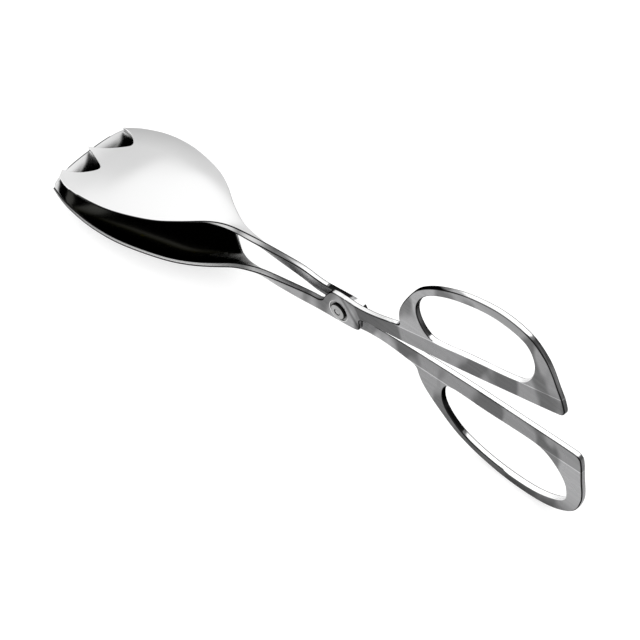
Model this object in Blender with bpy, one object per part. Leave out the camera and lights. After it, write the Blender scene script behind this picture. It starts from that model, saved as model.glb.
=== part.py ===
"""Scissor serving tongs: a spoon arm and a fork arm that cross at one rivet, with a washer between them."""
import math

import bmesh
import bpy
import numpy as np
from mathutils import Matrix, Vector

# Length unit
MM = 0.001

# Driving sizes of the whole tool, measured from the rivet axis
JAW_REACH = 126.5 * MM
HANDLE_REACH = 108.0 * MM
HANDLE_RISE = 47.0 * MM
BOWL_HALF_WIDTH = 21.0 * MM
BOWL_DEPTH = 10.0 * MM
RIM_HEIGHT = 10.0 * MM

# Sheet and layers
SHEET = 2.2 * MM
EDGE_ROUND = 0.5 * MM
WELD = 0.01 * MM
SHARP_ANGLE = math.radians(40)
LAYER_GAP = 1.1 * MM
JOGGLE = 0.25 * MM
LOOP_LEAN = math.radians(3.3)

# Rivet and washer
SHANK_RADIUS = 2.0 * MM
HOLE_RADIUS = 2.3 * MM
HEAD_RADIUS = 3.3 * MM
HEAD_EDGE = 0.45 * MM
HEAD_CROWN = 0.4 * MM
HEAD_CLEARANCE = 0.3 * MM
RECESS_RADIUS = 4.1 * MM
RECESS_DEPTH = 0.4 * MM
WASHER_RADIUS = 4.6 * MM
WASHER_THICKNESS = 0.5 * MM

# Small flats where the tongs rest on the table, and the search for the tilt they rest at
REST_FLAT = 0.25 * MM
MOST_TILT = math.radians(30)
TILT_STEP = math.radians(0.001)

# Mesh density
ROUND_STEPS = 40
CROWN_STEPS = 4
EDGE_STEPS = 2
OUTLINE_STEPS = 4
ACROSS = 16
STATION_STEPS = 3
FRONT_STEPS = 10

# Outline of plate, strip and loop from the foot of the jaw strip, round the loop and back,
# in shares of the handle reach and the handle rise
OUTLINE_SHARES = (
    (-0.093, -0.102), (0.060, -0.102), (0.080, -0.090), (0.088, -0.055), (0.092, 0.000), (0.098, 0.025),
    (0.115, 0.036), (0.280, 0.066), (0.555, 0.115), (0.785, 0.170), (0.955, 0.213), (0.988, 0.226),
    (1.002, 0.255), (1.004, 0.320), (0.993, 0.470), (0.965, 0.745), (0.903, 0.918), (0.800, 0.998),
    (0.665, 0.985), (0.535, 0.900), (0.432, 0.770), (0.360, 0.593), (0.309, 0.412), (0.296, 0.305),
    (0.294, 0.255), (0.284, 0.225), (0.255, 0.208), (0.152, 0.164), (0.046, 0.162), (0.000, 0.168),
    (-0.020, 0.160), (-0.056, 0.079), (-0.068, 0.035), (-0.078, 0.018), (-0.093, 0.006))
FINGER_HOLE_SHARES = (
    (0.440, 0.258), (0.412, 0.300), (0.390, 0.440), (0.405, 0.590), (0.468, 0.748), (0.600, 0.868),
    (0.760, 0.906), (0.875, 0.828), (0.908, 0.660), (0.883, 0.478), (0.835, 0.365), (0.800, 0.340),
    (0.600, 0.294))

# Crease along the top of the strip, beyond which the loop leans outwards
CREASE_SHARES = ((0.000, 0.142), (1.000, 0.386))
# Two slanted creases of the joggle beside the rivet plate
JOGGLE_START_SHARES = ((0.043, 0.151), (0.087, -0.013))
JOGGLE_END_SHARES = ((0.086, 0.124), (0.104, 0.015))

# Stations of both jaws from the plate to the tip. Columns in shares: reach of the jaw, offset from
# the middle to the arm's layer, sheet thickness, quarter turn of the strip, then half width, rim height
# and bowl depth of the spoon, and the same of the fork
JAW_STATION_SHARES = (
    (0.104, 1.00, 1.00, 1.00, 0.121, 0.23, 0.00, 0.123, 0.26, 0.00),
    (0.155, 0.95, 1.00, 0.93, 0.125, 0.28, 0.00, 0.135, 0.43, 0.00),
    (0.243, 0.80, 1.00, 0.80, 0.120, 0.37, 0.00, 0.125, 0.58, 0.00),
    (0.316, 0.50, 1.00, 0.61, 0.130, 0.48, 0.00, 0.130, 0.74, 0.00),
    (0.394, 0.12, 0.93, 0.33, 0.150, 0.69, 0.00, 0.150, 0.99, 0.00),
    (0.456, 0.00, 0.85, 0.08, 0.285, 0.76, 0.12, 0.285, 1.20, 0.12),
    (0.533, 0.00, 0.75, 0.00, 0.570, 0.65, 0.46, 0.570, 1.22, 0.46),
    (0.621, 0.00, 0.72, 0.00, 0.810, 0.49, 0.73, 0.810, 1.11, 0.74),
    (0.725, 0.00, 0.72, 0.00, 0.965, 0.36, 0.82, 0.965, 1.02, 0.73),
    (0.828, 0.00, 0.72, 0.00, 1.005, 0.24, 0.72, 1.000, 0.92, 0.40),
    (0.922, 0.00, 0.72, 0.00, 0.985, -0.02, 0.42, 0.920, 0.75, 0.20),
    (0.989, 0.00, 0.72, 0.00, 0.925, -0.42, -0.14, 0.745, 0.64, 0.20),
    (1.036, 0.00, 0.72, 0.00, 0.840, -0.58, -0.34, 0.640, 0.60, 0.24))
SPOON_COLUMN = 4
FORK_COLUMN = 7
BOWL_ROUNDNESS = 2.2

# Front edges, in shares of the jaw's reach, and their shape from the middle to the side
FRONT_START_SHARE = 0.777
SPOON_SIDE_SHARE = 0.985
SPOON_FRONT_SHARE = 1.0
SPOON_CORNER = 4
FORK_TIP_SHARE = 0.996
FORK_CORNER_SHARE = 0.985
FORK_NOTCH_PLACE = 0.375
FORK_NOTCH_SHARE = 0.116
NOTCH_ROUND_SHARE = 0.15
# Place and reach of the fork's two side points, which aren't quite alike
FORK_SIDE_POINTS = ((1.0, 0.984), (0.875, 0.996))


def smooth(points, steps, closed=False):
    """Points on a smooth curve through the given ones, which doesn't overshoot where they lie close."""
    rows = [np.array(point, float) for point in points]
    if closed:
        rows = [rows[-1]] + rows + rows[:2]
    else:
        rows = [2 * rows[0] - rows[1]] + rows + [2 * rows[-1] - rows[-2]]
    result = []
    for a, b, c, d in zip(rows, rows[1:], rows[2:], rows[3:]):
        before, here, after = (math.sqrt(np.linalg.norm(q - p)) for p, q in ((a, b), (b, c), (c, d)))
        leave = here * ((b - a) / before - (c - a) / (before + here) + (c - b) / here)
        arrive = here * ((c - b) / here - (d - b) / (here + after) + (d - c) / after)
        for step in range(steps):
            t = step / steps
            ease = t * t * (3 - 2 * t)
            result.append((1 - ease) * b + t * (1 - t) ** 2 * leave + ease * c - t * t * (1 - t) * arrive)
    if not closed:
        result.append(rows[-2])
    return result


def sheet_point(pair):
    """Outline share as a point in the handle's own plane."""
    return Vector((pair[0] * HANDLE_REACH, 0.0, pair[1] * HANDLE_RISE))


def line_axes(line):
    """Start and left-hand normal of a line in the handle's plane."""
    start, end = (sheet_point(pair) for pair in line)
    along = (end - start).normalized()
    return start, Vector((-along.z, 0.0, along.x))


def beyond(point, line):
    """Distance of a point past a line, on the side of the loop."""
    start, normal = line_axes(line)
    return (point - start).dot(normal)


def folded(point):
    """Place of a point of the flat blank after the joggle and the loop's crease are bent."""
    layer = (LAYER_GAP + SHEET) / 2
    past_start = beyond(point, JOGGLE_START_SHARES)
    past_end = beyond(point, JOGGLE_END_SHARES)
    share = 1.0
    if past_end < 0:
        share = max(0.0, past_start) / (max(0.0, past_start) - past_end)
    depth = layer + JOGGLE * share
    rise = beyond(point, CREASE_SHARES)
    if rise > 0 and share == 1.0:
        normal = line_axes(CREASE_SHARES)[1]
        point = point - normal * rise * (1 - math.cos(LOOP_LEAN))
        depth += rise * math.sin(LOOP_LEAN)
    return Vector((point.x, -depth, point.z))


def edge_bands():
    """Distances from a sheet's edge, with the sheet's thickness lost there to the rounding."""
    angles = [math.pi / 2 * step / EDGE_STEPS for step in range(EDGE_STEPS + 1)]
    return [(EDGE_ROUND * (1 - math.cos(angle)), 2 * EDGE_ROUND * (1 - math.sin(angle))) for angle in angles]


def inset(ring, distance, closed):
    """Ring moved into the sheet, which lies on its left."""
    before = [ring[-1] if closed else ring[0]] + ring[:-1]
    after = ring[1:] + [ring[0] if closed else ring[-1]]
    moved = []
    for point, a, b in zip(ring, before, after):
        along = (b - a).normalized()
        moved.append(point + Vector((-along.z, 0.0, along.x)) * distance)
    if not closed:
        across = Vector((0.0, 0.0, distance))
        moved[0], moved[-1] = ring[0] + across, ring[-1] - across
    return moved


def join_lines(mesh, first, second):
    """Faces between two lines of corners."""
    for four in zip(first, first[1:], second[1:], second):
        mesh.faces.new(four)


def add_handle(mesh, thickness):
    """Plate, strip and loop with its finger hole, as one folded blank."""
    outline = [sheet_point(pair) for pair in smooth(OUTLINE_SHARES, OUTLINE_STEPS)]
    hole = [sheet_point(pair) for pair in smooth(FINGER_HOLE_SHARES, OUTLINE_STEPS, closed=True)]
    edges = []
    for ring, closed in ((outline, False), (hole, True)):
        last = None
        for distance, lost in edge_bands():
            line = [mesh.verts.new(point) for point in inset(ring, distance, closed)]
            for vert in line:
                vert[thickness] = 1 - lost / SHEET
            if last:
                join_lines(mesh, last + last[:1] * closed, line + line[:1] * closed)
            last = line
        if not closed:
            head, foot = last[-1].co, last[0].co
            last += [mesh.verts.new(head.lerp(foot, step / ACROSS)) for step in range(1, ACROSS)]
            for vert in last[-ACROSS + 1:]:
                vert[thickness] = 1.0
        for pair in zip(last, last[1:] + last[:1]):
            edges.append(mesh.edges.get(pair) or mesh.edges.new(pair))
    bmesh.ops.triangle_fill(mesh, edges=edges, use_beauty=True)
    for line in (CREASE_SHARES, JOGGLE_START_SHARES, JOGGLE_END_SHARES):
        start, normal = line_axes(line)
        everything = mesh.verts[:] + mesh.edges[:] + mesh.faces[:]
        bmesh.ops.bisect_plane(mesh, geom=everything, plane_co=start, plane_no=normal)
    for vert in mesh.verts:
        vert.co = folded(vert.co.copy())
        if vert[thickness] == 0:
            vert[thickness] = 1.0


def spoon_front(place):
    """Front edge of the spoon: nearly straight, with rounded corners."""
    corner = math.sqrt(1 - abs(place) ** SPOON_CORNER)
    return SPOON_SIDE_SHARE + (SPOON_FRONT_SHARE - SPOON_SIDE_SHARE) * corner


def fork_front(place):
    """Front edge of the fork: a middle point and two side points, with a notch between them."""
    point_place, point_share = FORK_SIDE_POINTS[place > 0]
    place = abs(place)
    if place > point_place:
        past_point = (place - point_place) / (1 - point_place)
        return point_share + (FORK_CORNER_SHARE - point_share) * past_point
    width = FORK_NOTCH_PLACE if place < FORK_NOTCH_PLACE else point_place - FORK_NOTCH_PLACE
    from_bottom = math.hypot((place - FORK_NOTCH_PLACE) / width, NOTCH_ROUND_SHARE)
    from_point = math.hypot(1, NOTCH_ROUND_SHARE) - from_bottom
    deepest = math.hypot(1, NOTCH_ROUND_SHARE) - NOTCH_ROUND_SHARE
    points_line = FORK_TIP_SHARE + (point_share - FORK_TIP_SHARE) * place / point_place
    return points_line - FORK_NOTCH_SHARE * from_point / deepest


def jaw_columns(half):
    """Places across a jaw from edge to edge as offset, lost thickness and share between the bands."""
    side = [(half - distance, lost, 1.0) for distance, lost in edge_bands()[:-1]]
    middle = [(half - EDGE_ROUND) * (2 * step / ACROSS - 1) for step in range(ACROSS + 1)]
    inner = [(offset, 0.0, 2 * step / ACROSS - 1) for step, offset in enumerate(middle)]
    return [(-offset, lost, -share) for offset, lost, share in side] + inner + side[::-1]


def jaw_rows():
    """Places along a jaw's front part from its start to the front edge, with the thickness lost."""
    length = (SPOON_FRONT_SHARE - FRONT_START_SHARE) * JAW_REACH
    bands = [(1 - distance / length, lost) for distance, lost in edge_bands()[:-1]]
    inner = [((1 - EDGE_ROUND / length) * step / FRONT_STEPS, 0.0) for step in range(FRONT_STEPS + 1)]
    return inner + bands[::-1]


def add_jaw(mesh, thickness, first_column, front):
    """Twisted strip and bowl, as cross lines from the plate to the front edge."""
    foot, head = sheet_point(OUTLINE_SHARES[0]), sheet_point(OUTLINE_SHARES[-1])
    joint_half = (head.z - foot.z) / 2 / BOWL_HALF_WIDTH
    joint_height = -(head.z + foot.z) / 2 / RIM_HEIGHT
    joint = [-foot.x / JAW_REACH, 1.0, 1.0, 1.0] + [joint_half, joint_height, 0.0] * 2
    table = np.array(smooth([joint, *JAW_STATION_SHARES], STATION_STEPS))
    layer = (LAYER_GAP + SHEET) / 2
    lines = []
    rows = [(reach, None, 0.0) for reach in table[table[:, 0] < FRONT_START_SHARE, 0]]
    rows += [(FRONT_START_SHARE, place, lost) for place, lost in jaw_rows()]
    for start, place, row_lost in rows:
        line = []
        for column in range(len(jaw_columns(EDGE_ROUND))):
            share = jaw_columns(EDGE_ROUND)[column][2]
            reach = start if place is None else start + (front(share) - start) * place
            values = [np.interp(reach, table[:, 0], values) for values in table.T]
            aside, sheet, turn = values[1:4]
            half, rim, depth = values[first_column:first_column + 3]
            offset, column_lost, share = jaw_columns(half * BOWL_HALF_WIDTH)[column]
            hollow = depth * BOWL_DEPTH * (1 - abs(offset / half / BOWL_HALF_WIDTH) ** BOWL_ROUNDNESS)
            angle = turn * math.pi / 2
            line.append(mesh.verts.new((
                -reach * JAW_REACH,
                offset * math.cos(angle) - aside * layer,
                -rim * RIM_HEIGHT - offset * math.sin(angle) - hollow)))
            line[-1][thickness] = sheet - max(row_lost, column_lost) / SHEET
        lines.append(line)
    for first, second in zip(lines, lines[1:]):
        join_lines(mesh, first, second)


def steel(name, colour, roughness):
    """Polished stainless steel."""
    material = bpy.data.materials.new(name)
    material.use_nodes = True
    shader = material.node_tree.nodes["Principled BSDF"]
    shader.inputs["Base Color"].default_value = (*colour, 1.0)
    shader.inputs["Metallic"].default_value = 1.0
    shader.inputs["Roughness"].default_value = roughness
    return material


def place(name, mesh, material, parent=None):
    """Object of a finished mesh on the rivet axis."""
    data = bpy.data.meshes.new(name)
    mesh.to_mesh(data)
    mesh.free()
    item = bpy.data.objects.new(name, data)
    bpy.context.collection.objects.link(item)
    item.parent = parent
    if material:
        data.materials.append(material)
    return item


def make_arm(name, material, parent, first_column, front, turned_over):
    """One arm: folded sheet with its real thickness and rounded edges, ending in a bowl."""
    mesh = bmesh.new()
    thickness = mesh.verts.layers.float.new("sheet_share")
    add_handle(mesh, thickness)
    add_jaw(mesh, thickness, first_column, front)
    bmesh.ops.remove_doubles(mesh, verts=mesh.verts, dist=WELD)
    bmesh.ops.recalc_face_normals(mesh, faces=mesh.faces)
    if turned_over:
        bmesh.ops.rotate(mesh, verts=mesh.verts, matrix=Matrix.Rotation(math.pi, 3, 'X'))
    shares = [vert[thickness] for vert in mesh.verts]
    item = place(name, mesh, material, parent)
    group = item.vertex_groups.new(name="sheet_share")
    for index, share in enumerate(shares):
        group.add([index], share, 'REPLACE')
    thick = item.modifiers.new("sheet", 'SOLIDIFY')
    thick.thickness = SHEET
    thick.offset = 0.0
    thick.vertex_group = group.name
    item.data.shade_smooth()
    item.data.set_sharp_from_angle(angle=SHARP_ANGLE)
    return item


def turned(name, profile, material, parent=None):
    """Solid turned round the rivet axis from a closed profile of radius and place along the axis."""
    mesh = bmesh.new()
    rings = []
    for radius, depth in profile:
        if radius > 0:
            angles = (2 * math.pi * step / ROUND_STEPS for step in range(ROUND_STEPS))
            rings.append([mesh.verts.new((radius * math.cos(a), depth, radius * math.sin(a))) for a in angles])
        else:
            rings.append([mesh.verts.new((0.0, depth, 0.0))] * ROUND_STEPS)
    for first, second in zip(rings, rings[1:] + rings[:1]):
        for a, b, c, d in zip(first, first[1:] + first[:1], second[1:] + second[:1], second):
            corners = list(dict.fromkeys((a, b, c, d)))
            if len(corners) > 2:
                mesh.faces.new(corners)
    bmesh.ops.recalc_face_normals(mesh, faces=mesh.faces)
    item = place(name, mesh, material, parent)
    item.data.shade_smooth()
    return item


def mirrored(half):
    """Half profile turned to the other side of the middle plane, in running order."""
    return [(radius, -depth) for radius, depth in reversed(half)]


def cut(item, cutter):
    """Takes the cutter's shape out of an item."""
    cutter.hide_render = True
    cutter.display_type = 'WIRE'
    knife = item.modifiers.new(cutter.name, 'BOOLEAN')
    knife.operation = 'DIFFERENCE'
    knife.solver = 'EXACT'
    knife.object = cutter


def make_rivet(material, parent):
    """Rivet with a low domed head in the recess of each plate."""
    under = LAYER_GAP / 2 + SHEET - RECESS_DEPTH + HEAD_CLEARANCE
    edge = under + HEAD_EDGE
    dome = [(HEAD_RADIUS * math.cos(t), edge + HEAD_CROWN * math.sin(t))
            for t in (math.pi / 2 * step / CROWN_STEPS for step in range(CROWN_STEPS))]
    half = [(SHANK_RADIUS, under), (HEAD_RADIUS, under)] + dome + [(0.0, edge + HEAD_CROWN)]
    return turned("rivet", mirrored(half) + half, material, parent)


def make_washer(material, parent):
    """Thin washer that keeps the two plates apart."""
    half = WASHER_THICKNESS / 2
    ring = [(HOLE_RADIUS, -half), (WASHER_RADIUS, -half), (WASHER_RADIUS, half), (HOLE_RADIUS, half)]
    return turned("washer", ring, material, parent)


def make_rivet_cutter(parent):
    """Rivet hole through both plates and the shallow recess round it in their outer faces."""
    floor = LAYER_GAP / 2 + SHEET - RECESS_DEPTH
    half = [(HOLE_RADIUS, floor), (RECESS_RADIUS, floor), (RECESS_RADIUS, floor + SHEET), (0.0, floor + SHEET)]
    return turned("rivet_cutter", mirrored(half) + half, None, parent)


def make_table_cutter():
    """Block under the table plane, which leaves the small rest flats."""
    mesh = bmesh.new()
    bmesh.ops.create_cube(mesh, size=2 * JAW_REACH)
    bmesh.ops.translate(mesh, verts=mesh.verts, vec=(0.0, 0.0, -JAW_REACH))
    mesh.transform(Matrix.Diagonal((2.0, 1.0, 1.0, 1.0)))
    return place("table_cutter", mesh, None)


def corner_points(items):
    """Corners of the finished items about the rivet axis."""
    graph = bpy.context.evaluated_depsgraph_get()
    graph.update()
    points = []
    for item in items:
        points += [tuple(vert.co) for vert in item.evaluated_get(graph).data.vertices]
    return np.array(points)


def rest_pose(points):
    """Tilt that lays the belly of the spoon and the lower loop on the table, and the axis's place then."""
    low, high = 0.0, MOST_TILT
    while high - low > TILT_STEP:
        tilt = (low + high) / 2
        heights = points[:, 2] * math.cos(tilt) + points[:, 0] * math.sin(tilt)
        if heights[points[:, 0] < 0].min() > heights[points[:, 0] > 0].min():
            low = tilt
        else:
            high = tilt
    reaches = points[:, 0] * math.cos(tilt) - points[:, 2] * math.sin(tilt)
    return tilt, -(reaches.min() + reaches.max()) / 2, -heights.min() - REST_FLAT


def main():
    for item in list(bpy.data.objects):
        bpy.data.objects.remove(item)
    axis = bpy.data.objects.new("rivet_axis", None)
    bpy.context.collection.objects.link(axis)
    spoon_steel = steel("spoon_arm_steel", (0.60, 0.60, 0.60), 0.22)
    fork_steel = steel("fork_arm_steel", (0.60, 0.60, 0.60), 0.22)
    spoon_arm = make_arm("spoon_arm", spoon_steel, axis, SPOON_COLUMN, spoon_front, False)
    fork_arm = make_arm("fork_arm", fork_steel, axis, FORK_COLUMN, fork_front, True)
    make_rivet(steel("rivet_steel", (0.66, 0.66, 0.66), 0.18), axis)
    make_washer(steel("washer_steel", (0.50, 0.50, 0.50), 0.35), axis)
    rivet_cutter = make_rivet_cutter(axis)
    cut(spoon_arm, rivet_cutter)
    cut(fork_arm, rivet_cutter)
    tilt, along, height = rest_pose(corner_points([spoon_arm, fork_arm]))
    axis.location = (along, 0.0, height)
    axis.rotation_euler = (0.0, -tilt, 0.0)
    table_cutter = make_table_cutter()
    cut(spoon_arm, table_cutter)
    cut(fork_arm, table_cutter)


main()
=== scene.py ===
"""Scissor serving tongs in polished sheet steel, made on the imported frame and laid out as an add-on."""
import math

import bmesh
import bpy
import numpy as np
from bpy.props import FloatProperty, FloatVectorProperty, IntProperty, PointerProperty
from mathutils import Matrix, Vector


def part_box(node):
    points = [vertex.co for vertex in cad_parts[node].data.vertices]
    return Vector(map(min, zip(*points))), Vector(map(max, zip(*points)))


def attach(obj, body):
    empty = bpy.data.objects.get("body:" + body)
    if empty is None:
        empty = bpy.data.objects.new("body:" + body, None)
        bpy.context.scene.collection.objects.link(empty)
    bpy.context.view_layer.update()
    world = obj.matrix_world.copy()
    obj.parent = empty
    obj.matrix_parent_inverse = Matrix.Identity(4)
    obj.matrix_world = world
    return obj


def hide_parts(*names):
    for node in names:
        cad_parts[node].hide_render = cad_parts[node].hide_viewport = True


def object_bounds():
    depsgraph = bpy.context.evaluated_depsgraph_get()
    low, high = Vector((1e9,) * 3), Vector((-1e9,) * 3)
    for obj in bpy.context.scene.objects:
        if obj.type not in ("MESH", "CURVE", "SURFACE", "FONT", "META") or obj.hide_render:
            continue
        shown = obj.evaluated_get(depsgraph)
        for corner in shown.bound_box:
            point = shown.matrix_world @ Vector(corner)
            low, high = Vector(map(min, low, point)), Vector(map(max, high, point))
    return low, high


bl_info = {
    "name": "Serving Tongs",
    "version": (1, 0, 0),
    "blender": (4, 5, 0),
    "location": "View3D > Sidebar > Tongs",
    "description": "Builds the arms, rivet and washer of scissor serving tongs and their studio",
    "category": "Add Mesh",
}

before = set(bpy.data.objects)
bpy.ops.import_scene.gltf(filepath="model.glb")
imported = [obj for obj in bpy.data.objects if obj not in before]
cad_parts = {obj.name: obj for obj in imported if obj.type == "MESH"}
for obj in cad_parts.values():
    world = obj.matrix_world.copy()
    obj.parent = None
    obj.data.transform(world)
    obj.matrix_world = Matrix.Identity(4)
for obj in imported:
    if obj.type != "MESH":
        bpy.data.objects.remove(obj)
cad_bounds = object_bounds()
rivet_low, rivet_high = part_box("rivet")
MM = 0.001

# Lean of the tongs' own axes as they rest on the spoon and the lower loop
REST_TILT = math.radians(11.447)

# Outline of plate, strip and loop from the foot of the jaw strip, round the loop and back,
# in shares of the handle reach and the handle rise
OUTLINE_SHARES = (
    (-0.093, -0.102), (0.060, -0.102), (0.080, -0.090), (0.088, -0.055), (0.092, 0.000), (0.098, 0.025),
    (0.115, 0.044), (0.280, 0.067), (0.555, 0.115), (0.785, 0.170), (0.955, 0.213), (0.988, 0.226),
    (1.002, 0.255), (1.004, 0.320), (0.993, 0.470), (0.965, 0.745), (0.903, 0.918), (0.800, 0.998),
    (0.665, 0.985), (0.535, 0.900), (0.432, 0.770), (0.360, 0.593), (0.309, 0.412), (0.296, 0.305),
    (0.294, 0.255), (0.284, 0.225), (0.255, 0.208), (0.152, 0.164), (0.046, 0.162), (0.000, 0.168),
    (-0.020, 0.160), (-0.056, 0.079), (-0.068, 0.035), (-0.078, 0.018), (-0.093, 0.006))
FINGER_HOLE_SHARES = (
    (0.440, 0.258), (0.412, 0.300), (0.390, 0.440), (0.405, 0.590), (0.468, 0.748), (0.600, 0.868),
    (0.760, 0.906), (0.875, 0.828), (0.908, 0.660), (0.883, 0.478), (0.835, 0.365), (0.800, 0.340),
    (0.600, 0.294))

# Crease along the top of the strip, and the two slanted creases beside the rivet plate
CREASE_SHARES = ((0.000, 0.142), (1.000, 0.386))
JOGGLE_START_SHARES = ((0.043, 0.151), (0.087, -0.013))
JOGGLE_END_SHARES = ((0.086, 0.124), (0.104, 0.015))

# Bands beside the creases, over which the painted shade and highlights of the satin sheet change
CREASE_BANDS = (-0.35 * MM, 0.0, 0.35 * MM)
START_BANDS = (-2.6 * MM, -1.2 * MM, 0.2 * MM)
END_BANDS = (0.0, 0.6 * MM, 9 * MM, 14 * MM)

# Painted shade and highlights of each arm, as tones: the valley and the panel of its joggle, the strip
# beside it, further along and at the far end, the crease, the web and the jaw's strip; then the painted
# light of the bowl's rim and of the strip's cut edges, and which side of the bowl lies away from the light
PAINTED_TONES = {
    "spoon_arm": {"valley": 0.38, "panel": 1.22, "neck": 0.55, "near": 0.62, "strip": 0.76,
                  "crease": 1.9, "web": (1.08, 0.80), "jaw": (0.95, 0.95),
                  "rim": -0.4, "jaw_edge": (-0.56, -0.40, -0.44), "far_side": -1},
    "fork_arm": {"valley": 0.30, "panel": 1.10, "neck": 1.25, "near": 1.10, "strip": 0.74,
                 "crease": 1.9, "web": (0.82, 1.08), "jaw": (1.70, 0.32),
                 "rim": 0.3, "jaw_edge": (-0.60, 0.10, 0.62), "far_side": 1},
}

# Stations of both jaws from the plate to the tip. Columns in shares: reach, offset to the layer, sheet
# thickness, quarter turn, then half width, rim height and depth of the spoon, and the same of the fork
JAW_STATION_SHARES = (
    (0.104, 1.00, 1.00, 1.00, 0.121, 0.23, 0.00, 0.123, 0.26, 0.00),
    (0.155, 0.95, 1.00, 0.93, 0.125, 0.28, 0.00, 0.135, 0.43, 0.00),
    (0.243, 0.80, 1.00, 0.80, 0.120, 0.37, 0.00, 0.125, 0.58, 0.00),
    (0.316, 0.50, 1.00, 0.61, 0.130, 0.48, 0.00, 0.130, 0.74, 0.00),
    (0.394, 0.12, 0.93, 0.33, 0.150, 0.69, 0.00, 0.150, 0.99, 0.00),
    (0.456, 0.00, 0.85, 0.08, 0.285, 0.76, 0.12, 0.285, 1.20, 0.12),
    (0.533, 0.00, 0.75, 0.00, 0.570, 0.65, 0.46, 0.570, 1.22, 0.46),
    (0.621, 0.00, 0.72, 0.00, 0.810, 0.49, 0.73, 0.810, 1.11, 0.74),
    (0.725, 0.00, 0.72, 0.00, 0.965, 0.36, 0.82, 0.965, 1.02, 0.73),
    (0.828, 0.00, 0.72, 0.00, 1.005, 0.24, 0.72, 1.000, 0.92, 0.40),
    (0.922, 0.00, 0.72, 0.00, 0.985, -0.02, 0.42, 0.920, 0.75, 0.20),
    (0.989, 0.00, 0.72, 0.00, 0.925, -0.42, -0.14, 0.745, 0.64, 0.20),
    (1.036, 0.00, 0.72, 0.00, 0.840, -0.58, -0.34, 0.640, 0.60, 0.24))
SPOON_COLUMN = 4
FORK_COLUMN = 7
BOWL_ROUNDNESS = 2.2

# Bell-shaped average over neighbouring stations
EASE_SHARE = 0.012
EASE_SPAN = 2.4
EASE_SAMPLES = 13

# Shares of the jaw's reach where the polished bowl begins and where the painted shading changes,
# and the painted shade on the bowl's far side
BOWL_START_SHARE = 0.25
BOWL_BLEND_SHARE = 0.10
JAW_TONE_SHARES = (0.09, 0.12, 0.19, 0.26, 0.36)
BOWL_TONE_SHARES = (0.5, 1.0)
BOWL_PAINTED_TONES = (0.98, 0.84)
FAR_SIDE_SHARES = (0.5, 0.75)
FAR_SIDE_START = 0.4
FAR_SIDE_LOSS = 0.4

# Places from the rivet, along the tongs, between which the painted light of the cut edges changes
JAW_EDGE_BLEND = (-62 * MM, -49 * MM, -34 * MM, -16 * MM)
JAW_END = -8 * MM
PLATE_END = 16 * MM
STRIP_EDGE_BLEND = (0.0, 20 * MM, 40 * MM)
BACK_EDGE_BLEND = (1 * MM, 5 * MM, 7.5 * MM, 8.5 * MM)

# Looks of the cut edges, from painted shade over plain, which is 0, to a painted highlight. A look is full
# from one part in EDGE_REACH of the rounding on, and from WALL_SHARE of it an edge counts as its flat wall
DARK = -1.0
BRIGHT = 1.0
PLATE_LOOK = 0.5
NEARLY_BRIGHT = 0.9
UNDER_LOOK = -0.85
ROUNDING_LOOK = -0.8
HOLE_LOOK = -0.68
END_LOOK = -0.44
EDGE_REACH = 9.0
WALL_SHARE = 0.8

# An edge faces some way where that part of its normal is past these
FACING = 0.3
FRONT_FACING = -0.35
NEARLY_UP = 0.87
UP_CONTRAST = 14

# Where the painted shade inside the bowls fades out, from the rivet and from the front edge, and how
# fast it sets in as the hollow side turns up
HOLLOW_START = (-46 * MM, -40 * MM)
FRONT_FADE = (2 * MM, 5 * MM)
HOLLOW_CONTRAST = 3

# Rivet's painted shade on its outer ring, dimple ring and side, and the rings of its dimple, in shares of a
# radius
HEAD_RING_SHARE = 0.87
DIMPLE_RING_SHARE = 0.8
RIVET_SIDE_SHARE = 0.35
DIMPLE_SHARES = (1.0, 0.9, 0.8, 0.65, 0.4, 0.0)
# Width outside the recess's rim that stays plain like the recess
RECESS_MARGIN = 0.1 * MM

# Front edges, in shares of the jaw's reach, and their shape from the middle to the side
FRONT_START_SHARE = 0.777
SPOON_SIDE_SHARE = 0.985
SPOON_FRONT_SHARE = 1.0
SPOON_CORNER = 4
FORK_TIP_SHARE = 0.996
FORK_CORNER_SHARE = 0.985
FORK_NOTCH_PLACE = 0.375
FORK_NOTCH_SHARE = 0.116
NOTCH_ROUND_SHARE = 0.15
# Place and reach of the fork's two side points, which aren't quite alike
FORK_SIDE_POINTS = ((1.0, 0.984), (0.875, 0.996))

# Patterns of the sheet: how fine they are along each axis, how strong the streaks of the cut edges are,
# the darkest and lightest cloud of the satin, and its tone in the drawn grain
GRAIN_STRETCH = (25, 700, 700)
CLOUD_STRETCH = (1.0, 1.0, 0.5)
STREAK_STRETCH = (12, 1100, 12)
STREAK_STRENGTH = 0.08
CLOUD_TONES = (0.42, 1.22)
DRAWN_TONE = 0.80
# Height over the table under which the handles get a painted shadow, and their tone at the table
LOW_HEIGHT = 16 * MM
TABLE_SHADE_TONE = 0.25
# Reach within which a place counts as covered, and how open it is where the painted shade inside the
# bowls is full and where there is none
COVER_REACH = 0.06
COVER_LIMITS = (0.64, 0.93)

# Floor's grey, its glow for the camera and its glow in what mirrors it; direction of the room's dark wall
FLOOR_GREY = 0.55
FLOOR_GLOW = 0.50
FLOOR_MIRRORED = 0.22
DARK_WALL_SIDE = (0.75, 0.6, 0.2)

# Corners closer than these are joined, and edges sharper than these stay sharp
WELD = 0.01 * MM
TURNED_WELD = 0.001 * MM
SHEET_SHARP = math.radians(50)
RIVET_SHARP = math.radians(40)
WASHER_SHARP = math.radians(30)

# Mesh density
OUTLINE_STEPS = 12
EDGE_STEPS = 4
ACROSS = 48
STATION_STEPS = 8
FRONT_STEPS = 30
ROUND_STEPS = 96


def metres(name, description, default):
    """Length among the values of a group or piece, in metres."""
    return FloatProperty(name=name, description=description, default=default, unit='LENGTH')


def degrees(name, description, default):
    """Angle among the values of a group, given in degrees."""
    return FloatProperty(name=name, description=description, default=math.radians(default), subtype='ANGLE')


def tint(name, description, default):
    """Colour among the values of a group."""
    return FloatVectorProperty(name=name, description=description, size=3, default=default, subtype='COLOR')


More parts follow.
